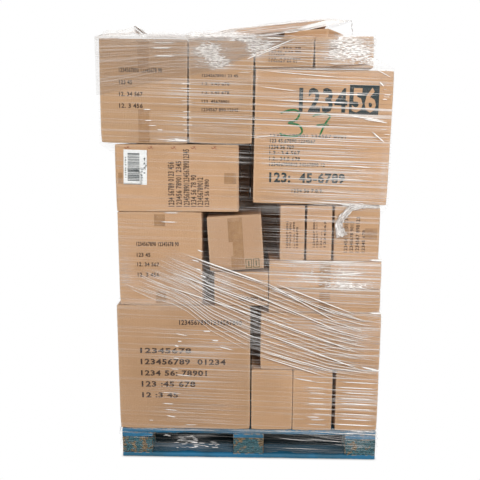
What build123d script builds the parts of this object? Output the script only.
from build123d import *
from math import atan2, cos, degrees, radians, sin, tan
import os

# A mixed load of cardboard cartons, taped shut, stacked on a 1200 x 800 four-way block pallet and
# wrapped in stretch film. Millimetres. The origin is the middle of the pallet on the floor, +X runs
# to the right along the long side, -Y faces the viewer of the printed front, and +Z is up.

# Pallet
PALLET_LENGTH = 1200
PALLET_WIDTH = 800
BOARD_THICKNESS = 22
BLOCK_HEIGHT = 78
WIDE_BOARD = 145
NARROW_BOARD = 100
DECK_BOARD_COUNT = 5
BOTTOM_CHAMFER = 8
DECK_TOP = 3 * BOARD_THICKNESS + BLOCK_HEIGHT

# Cardboard and packing tape
FLUTE = 4
SCORE_RADIUS = 4
SEAM_GAP = 3
FLAP_SLIT = 1
SLIT_DEPTH = 1.5
TAPE_WIDTH = 48
TAPE_THICKNESS = 0.3
TAPE_LEG = 65
LONG_TAPE_LEG = 145
SHORT_TAPE_LEG = 32
LEG_CLEARANCE = 4
TAPE_CLEARANCE = 0.2
TIER_GAP = 2 * TAPE_THICKNESS + TAPE_CLEARANCE

# Front row of cartons, each pair a width and a height
FRONT = -PALLET_WIDTH / 2
ROW_GAP = 20
ROW_DEPTH = (PALLET_WIDTH - ROW_GAP) / 2
BIG_CARTON = (614, 604)
BIG_PRINTED_CARTON = (589, 575)
TALL_CARTON = (378, 429)
UPPER_TALL_CARTON = (378, 438)
NEAR_TALL_CARTON = (277, 431)
LYING_CARTON = (544, 296)
PLAIN_CARTON_WIDTHS = (193, 184, 197)
PLAIN_CARTON_HEIGHT = 299
WIDE_CARTON = (550, 273)
FLAT_CARTON_WIDTH = 506
FLAT_CARTON_HEIGHTS = (112, 129)
SMALL_CARTON_WIDTHS = (110, 113, 201)
SMALL_CARTON_HEIGHT = 249
TOP_CARTON = (248, 130)
LEDGE_CARTON = (246, 158)
LEANING_CARTON = (245, 249)
LEANING_DEPTH = 300

# Width, depth and height of the two loose packs on the top
TURNED_CARTON = (220, 200, 49)
SLANTED_PACK = (420, 300, 32)

# Where the cartons stand: overhangs past the pallet's end, insets from the carton below, and gaps
BIG_OVERHANG = 7
TALL_INSET = 17
LYING_INSET = 15
UPPER_OVERHANG = 51
LEDGE_GAP = 53
LEANING_GAP = 35
SIDE_GAP = 5
COLUMN_GAP = 1
PLAIN_CARTON_GAPS = (5, 1, 15)
WIDE_INSET = 40
FLAT_INSET = 36
SMALL_INSET = 48
SMALL_CARTON_GAPS = (8, 9)
BIG_PRINTED_OVERHANG = 123
TOP_INSET = 6
TURNED_INSET = 183
TURNED_SETBACK = 100
SLANTED_INSET = 113
SLANTED_SETBACK = 200

# How far cartons lean, in degrees, positive with the right end up
LOAD_SAG = -0.9
LEFT_SAG = -0.8
RIGHT_TOP_LEAN = 1.2
LEANING_TILT = 3.6
TURNED_TURN = -28

# Back row of cartons, from the deck up
BACK_INSET = 25
BACK_LENGTH = PALLET_LENGTH - 2 * BACK_INSET
BACK_GAP = 5
BACK_COUNTS = (3, 2, 3, 2, 3)
BACK_HEIGHTS = (380, 330, 340, 310, 447)
THREE_IN_A_TIER = 3

# Address label on the lying carton
LABEL_WIDTH = 103
LABEL_HEIGHT = 152
LABEL_THICKNESS = 0.3
LABEL_INSET = 37
LABEL_DROP = 24
LABEL_TILT = -1.5

# Stretch film
FILM_THICKNESS = 0.8
FILM_CLEARANCE = 0.5
FILM_CORNER = 0.7
FILM_SLOPE = 45
FILM_SKIRT = 18
FILM_COLLAR = 6
FILM_STEP = 0.5

LOW = (Align.MIN, Align.MIN, Align.MIN)
TOOL = 1


class Carton:
    """A closed carton with two pairs of flaps.

    opening is the axis through the flap faces. seam is the axis that the tape runs along.
    left, front and on place the lowest corner: on is the height that it stands at.
    """

    def __init__(self, name, width, height, left, on, depth=ROW_DEPTH, front=FRONT,
                 opening="Z", seam="X", tilt=0, turn=0, upper_leg=TAPE_LEG, lower_leg=TAPE_LEG):
        self.name, self.width, self.height, self.depth = name, width, height, depth
        self.left, self.front, self.on = left, front, on
        self.opening, self.seam, self.tilt, self.turn = opening, seam, tilt, turn
        self.upper_leg, self.lower_leg = upper_leg, lower_leg

    @property
    def right(self):
        return self.left + self.width

    @property
    def pivot(self):
        """The lower edge that a leaning carton stands on."""
        return self.left if self.tilt > 0 else self.right

    @property
    def top(self):
        return max(self.top_at(self.left), self.top_at(self.right))

    def top_at(self, x):
        """Height of the carton's top above a place along the pallet."""
        lean = radians(self.tilt)
        return self.on + self.height / cos(lean) + (x - self.pivot) * tan(lean)

    def blank_size(self):
        """Across the seam, along the seam, and between the flap faces."""
        if self.opening == "X":
            return self.height, self.depth, self.width
        if self.seam == "X":
            return self.depth, self.width, self.height
        return self.width, self.depth, self.height

    def place(self):
        """From the blank's own frame, seam along Y and flaps below and above, to the pallet's."""
        across, along, between = self.blank_size()
        if self.opening == "X":
            stand = Pos(0, 0, across) * Rot(0, 90, 0)
        elif self.seam == "X":
            stand = Pos(along, 0, 0) * Rot(0, 0, 90)
        else:
            stand = Pos(0, 0, 0)
        hinge = self.pivot - self.left
        lean = Pos(hinge, 0, 0) * Rot(0, -self.tilt, 0) * Pos(-hinge, 0, 0)
        swing = Pos(self.width, 0, 0) * Rot(0, 0, self.turn) * Pos(-self.width, 0, 0)
        return Pos(self.left, self.front, self.on) * swing * lean * stand

    def solid(self):
        across, along, between = self.blank_size()
        body = Box(across, along, between, align=LOW)
        body = fillet(body.edges().filter_by(Axis.Z), SCORE_RADIUS)
        for flap_face, inward in ((0, 1), (between, -1)):
            body -= Pos(across / 2, along / 2, flap_face) * Box(SEAM_GAP, along + TOOL, 2 * FLUTE)
            under_flap = flap_face + inward * (FLUTE + FLAP_SLIT / 2)
            for end in (0, along):
                slit = Box(across - 2 * SCORE_RADIUS, 2 * SLIT_DEPTH, FLAP_SLIT)
                body -= Pos(across / 2, end, under_flap) * slit
        return self.place() * body

    def tape_strips(self):
        """The strip over each seam, with a leg turned down both ends of the carton."""
        across, along, between = self.blank_size()
        longest = between / 2 - LEG_CLEARANCE
        strips = []
        for flap_face, outward, leg in ((0, -1, self.lower_leg), (between, 1, self.upper_leg)):
            edge = flap_face - outward * min(leg, longest)
            skin = flap_face + outward * TAPE_THICKNESS
            outline = Polyline(
                (-TAPE_THICKNESS, edge), (-TAPE_THICKNESS, skin),
                (along + TAPE_THICKNESS, skin), (along + TAPE_THICKNESS, edge),
                (along, edge), (along, flap_face), (0, flap_face), (0, edge), close=True)
            strip = extrude(Plane.YZ * make_face(outline), TAPE_WIDTH)
            strips.append(self.place() * Pos((across - TAPE_WIDTH) / 2, 0, 0) * strip)
        return strips


def wheel_bevels(start, end, width):
    """What is planed off both upper edges of a bottom board, between two blocks."""
    top, side = BOARD_THICKNESS, width / 2
    corner = Polyline((side - BOTTOM_CHAMFER, top), (side, top), (side, top - BOTTOM_CHAMFER), close=True)
    bevel = Pos(start, 0, 0) * extrude(Plane.YZ * make_face(corner), end - start)
    return [bevel, mirror(bevel, about=Plane.XZ)]


def pallet_parts():
    """Three bottom boards, nine chipboard blocks, three cross boards and the deck, by name."""
    parts = {}
    row_widths = (NARROW_BOARD, WIDE_BOARD, NARROW_BOARD)
    row_middles = (-(PALLET_WIDTH - NARROW_BOARD) / 2, 0, (PALLET_WIDTH - NARROW_BOARD) / 2)
    column_middles = (-(PALLET_LENGTH - WIDE_BOARD) / 2, 0, (PALLET_LENGTH - WIDE_BOARD) / 2)
    block_low = BOARD_THICKNESS
    cross_low = block_low + BLOCK_HEIGHT
    deck_low = cross_low + BOARD_THICKNESS
    flat = (Align.CENTER, Align.CENTER, Align.MIN)

    for row, width, middle in zip(("front", "middle", "back"), row_widths, row_middles):
        board = Box(PALLET_LENGTH, width, BOARD_THICKNESS, align=flat)
        for left, right in zip(column_middles, column_middles[1:]):
            board -= wheel_bevels(left + WIDE_BOARD / 2, right - WIDE_BOARD / 2, width)
        parts[f"bottom_board_{row}"] = Pos(0, middle, 0) * board
        for side, column in zip(("left", "centre", "right"), column_middles):
            block = Box(WIDE_BOARD, width, BLOCK_HEIGHT, align=flat)
            parts[f"block_{row}_{side}"] = Pos(column, middle, block_low) * block

    for side, column in zip(("left", "centre", "right"), column_middles):
        board = Box(WIDE_BOARD, PALLET_WIDTH, BOARD_THICKNESS, align=flat)
        parts[f"cross_board_{side}"] = Pos(column, 0, cross_low) * board

    widths = [WIDE_BOARD if i % 2 == 0 else NARROW_BOARD for i in range(DECK_BOARD_COUNT)]
    space = (PALLET_WIDTH - sum(widths)) / (DECK_BOARD_COUNT - 1)
    edge = -PALLET_WIDTH / 2
    for i, width in enumerate(widths):
        board = Box(PALLET_LENGTH, width, BOARD_THICKNESS, align=(Align.CENTER, Align.MIN, Align.MIN))
        parts[f"deck_board_{i + 1}"] = Pos(0, edge, deck_low) * board
        edge += width + space
    return parts


def left_stack():
    """The left column of the front row, from the big printed carton up."""
    pallet_end = -PALLET_LENGTH / 2
    big = Carton("carton_big_lower_left", *BIG_CARTON, pallet_end - BIG_OVERHANG, DECK_TOP + TIER_GAP)
    tier = big.top + TIER_GAP
    tall = Carton("carton_tall_left", *TALL_CARTON, big.left + TALL_INSET, tier, seam="Y")
    ledge = Carton("carton_ledge_centre", *LEDGE_CARTON, tall.right + LEDGE_GAP, tier)
    leaning = Carton("carton_leaning_centre", *LEANING_CARTON, tall.right + LEANING_GAP,
                     ledge.top + TIER_GAP, depth=LEANING_DEPTH, seam="Y", tilt=LEANING_TILT,
                     upper_leg=LONG_TAPE_LEG)
    lying = Carton("carton_lying_left", *LYING_CARTON, big.left + LYING_INSET, tall.top + TIER_GAP,
                   opening="X", lower_leg=SHORT_TAPE_LEG)
    tier = lying.top + TIER_GAP
    upper = Carton("carton_tall_upper_left", *UPPER_TALL_CARTON, pallet_end - UPPER_OVERHANG, tier,
                   seam="Y", tilt=LEFT_SAG, lower_leg=LONG_TAPE_LEG)
    near = Carton("carton_tall_upper_centre", *NEAR_TALL_CARTON, upper.right + SIDE_GAP, tier,
                  tilt=LEFT_SAG)
    return [big, tall, ledge, leaning, lying, upper, near]


def beside(column, wanted, low, height):
    """A left edge where wanted, or else against the cartons of the left column at its height."""
    level = [carton for carton in column if carton.on < low + height and carton.top > low]
    return max([wanted, *(carton.right + COLUMN_GAP for carton in level)])


def right_stack(column):
    """The right column of the front row, up to the two small cartons on the big one."""
    plain = []
    edge = column[0].right
    for i, (gap, width) in enumerate(zip(PLAIN_CARTON_GAPS, PLAIN_CARTON_WIDTHS)):
        plain.append(Carton(f"carton_plain_{i + 1}", width, PLAIN_CARTON_HEIGHT, edge + gap,
                            DECK_TOP + TIER_GAP))
        edge = plain[-1].right
    tier = plain[-1].top + TIER_GAP
    wide_left = beside(column, plain[0].left + WIDE_INSET, tier, WIDE_CARTON[1])
    wide = Carton("carton_wide_right", *WIDE_CARTON, wide_left, tier)

    tier = wide.top + TIER_GAP
    flat_left = beside(column, wide.left + FLAT_INSET, tier, sum(FLAT_CARTON_HEIGHTS) + TIER_GAP)
    flat = []
    for side, height in zip(("lower", "upper"), FLAT_CARTON_HEIGHTS):
        flat.append(Carton(f"carton_flat_{side}", FLAT_CARTON_WIDTH, height, flat_left, tier, seam="Y"))
        tier = flat[-1].top + TIER_GAP

    small = []
    edge = beside(column, flat_left + SMALL_INSET, tier, SMALL_CARTON_HEIGHT)
    for i, (width, gap) in enumerate(zip(SMALL_CARTON_WIDTHS, (*SMALL_CARTON_GAPS, 0))):
        small.append(Carton(f"carton_small_{i + 1}", width, SMALL_CARTON_HEIGHT, edge, tier))
        edge += width + gap
    small[-1].opening = "X"

    tier = small[-1].top + TIER_GAP
    big_left = beside(column, small[0].left - BIG_PRINTED_OVERHANG, tier, BIG_PRINTED_CARTON[1])
    big = Carton("carton_big_upper_right", *BIG_PRINTED_CARTON, big_left, tier, tilt=LOAD_SAG)
    first = Carton("carton_top_1", *TOP_CARTON, big.left + TOP_INSET, 0, tilt=LOAD_SAG)
    first.on = big.top_at(first.right) + TIER_GAP
    spread = TOP_CARTON[1] * (sin(radians(RIGHT_TOP_LEAN)) - sin(radians(LOAD_SAG)))
    second = Carton("carton_top_2", *TOP_CARTON, first.right + spread + 3 * TIER_GAP, 0,
                    tilt=RIGHT_TOP_LEAN)
    second.on = big.top_at(second.left) + TIER_GAP
    return [*plain, wide, *flat, *small, big, first, second]


def back_row():
    """Five plain tiers behind the front row."""
    cartons = []
    on = DECK_TOP + TIER_GAP
    for tier, (count, height) in enumerate(zip(BACK_COUNTS, BACK_HEIGHTS)):
        width = (BACK_LENGTH - (count - 1) * BACK_GAP) / count
        seam = "Y" if count >= THREE_IN_A_TIER else "X"
        for i in range(count):
            cartons.append(Carton(
                f"carton_back_{tier + 1}_{i + 1}", width, height,
                -BACK_LENGTH / 2 + i * (width + BACK_GAP), on,
                front=FRONT + ROW_DEPTH + ROW_GAP, seam=seam))
        on += height + TIER_GAP
    return cartons


def top_packs(second, back_middle):
    """The turned carton on the top tier, and the flat pack that leans on it from the back row."""
    width, depth, height = TURNED_CARTON
    turned = Carton("carton_turned_top", width, height, second.right - TURNED_INSET - width,
                    second.top + TIER_GAP, depth=depth, front=FRONT + TURNED_SETBACK, turn=TURNED_TURN)
    width, depth, height = SLANTED_PACK
    left = back_middle.left + SLANTED_INSET
    near_corner = turned.right - turned.width * cos(radians(TURNED_TURN))
    lean = degrees(atan2(turned.top - back_middle.top, near_corner - left))
    slanted = Carton("pack_slanted_top", width, height, left, back_middle.top + TIER_GAP,
                     depth=depth, front=FRONT + SLANTED_SETBACK, tilt=lean)
    return [turned, slanted]


def address_label(lying):
    """A paper label on the front of the lying carton, a little askew."""
    paper = Box(LABEL_WIDTH, LABEL_THICKNESS, LABEL_HEIGHT)
    x = lying.left + LABEL_INSET + LABEL_WIDTH / 2
    z = lying.top - LABEL_DROP - LABEL_HEIGHT / 2
    return Pos(x, lying.front - LABEL_THICKNESS / 2, z) * Rot(0, -LABEL_TILT, 0) * paper


def side_line(cartons, side):
    """Heights and places of one side of the film, which slopes from tier to tier."""
    out = -1 if side == "left" else 1
    stops = [(DECK_TOP, out * PALLET_LENGTH / 2)]
    for carton in cartons:
        lean = abs(tan(radians(carton.tilt))) * carton.height
        reach = (carton.left - lean) if out < 0 else (carton.right + lean)
        low, high = carton.on, carton.top
        before = stops[-1]
        if out * reach > out * before[1]:
            stops[-1] = (min(before[0], low - FILM_SLOPE), before[1])
            stops.append((low - TIER_GAP, reach))
        elif out * reach < out * before[1]:
            stops.append((low + FILM_SLOPE, reach))
        stops.append((high, reach))
    return stops


def reach_at(line, height):
    """Where a side line is at one height."""
    below = [stop for stop in line if stop[0] <= height]
    above = [stop for stop in line if stop[0] > height]
    if not below:
        return line[0][1]
    if not above:
        return line[-1][1]
    (z0, x0), (z1, x1) = below[-1], above[0]
    return x0 + (x1 - x0) * (height - z0) / (z1 - z0)


def film_section(line_left, line_right, height, skin):
    """The film's outline at one height: wide round the front row, drawn in to the back row."""
    gap = TAPE_THICKNESS + FILM_CLEARANCE + skin
    left, right = reach_at(line_left, height), reach_at(line_right, height)
    row_end = FRONT + ROW_DEPTH
    half_back = BACK_LENGTH / 2 if height > DECK_TOP else PALLET_LENGTH / 2
    widest_left, widest_right = min(left, -half_back), max(right, half_back)
    corners = [
        (left - gap, FRONT - gap), (right + gap, FRONT - gap), (widest_right + gap, row_end),
        (half_back + gap, -FRONT + gap), (-half_back - gap, -FRONT + gap), (widest_left - gap, row_end)]
    outline = make_face(Polyline(*corners, close=True))
    rows = outline.vertices().group_by(Axis.Y)
    blunted = chamfer([*rows[0], *rows[-1]], FILM_CORNER + skin / 2)
    return Pos(0, 0, height) * blunted


def stretch_film(left_side, right_side, collar):
    """The film sleeve: a thin wall lofted up the tiers, open below and above."""
    line_left = side_line(left_side, "left")
    line_right = side_line(right_side, "right")
    heights = sorted({z for z, _ in line_left + line_right if DECK_TOP < z < collar})
    merged = [DECK_TOP - FILM_SKIRT, DECK_TOP]
    for z in heights:
        if z - merged[-1] > FILM_STEP:
            merged.append(z)
    merged.append(collar)
    shells = []
    for skin in (FILM_THICKNESS, 0):
        ends = TOOL if skin == 0 else 0
        levels = [merged[0] - ends] + merged[1:-1] + [merged[-1] + ends]
        shells.append(loft([film_section(line_left, line_right, z, skin) for z in levels], ruled=True))
    return shells[0] - shells[1]


def build():
    """Every piece of the load by its node's name."""
    column = left_stack()
    load = {carton.name: carton for carton in column + right_stack(column) + back_row()}
    for pack in top_packs(load["carton_top_2"], load["carton_back_5_2"]):
        load[pack.name] = pack
    parts = pallet_parts()
    for carton in load.values():
        parts[carton.name] = carton.solid()
    strips = [strip for carton in load.values() for strip in carton.tape_strips()]
    parts["packing_tape"] = Compound(children=strips)
    parts["address_label"] = address_label(load["carton_lying_left"])
    left_side = [load[f"carton_{place}"] for place in (
        "big_lower_left", "tall_left", "lying_left", "tall_upper_left")]
    right_side = [load[f"carton_{place}"] for place in (
        "plain_3", "wide_right", "flat_lower", "flat_upper", "small_3", "big_upper_right", "top_2")]
    rim = [load[f"carton_{place}"] for place in ("tall_upper_left", "top_1", "top_2")]
    collar = max(carton.top for carton in rim) + FILM_COLLAR
    parts["stretch_film"] = stretch_film(left_side, right_side, collar)
    return parts


os.makedirs("parts", exist_ok=True)
for node, shape in build().items():
    export_step(shape, f"parts/{node}.step")
    print(node)
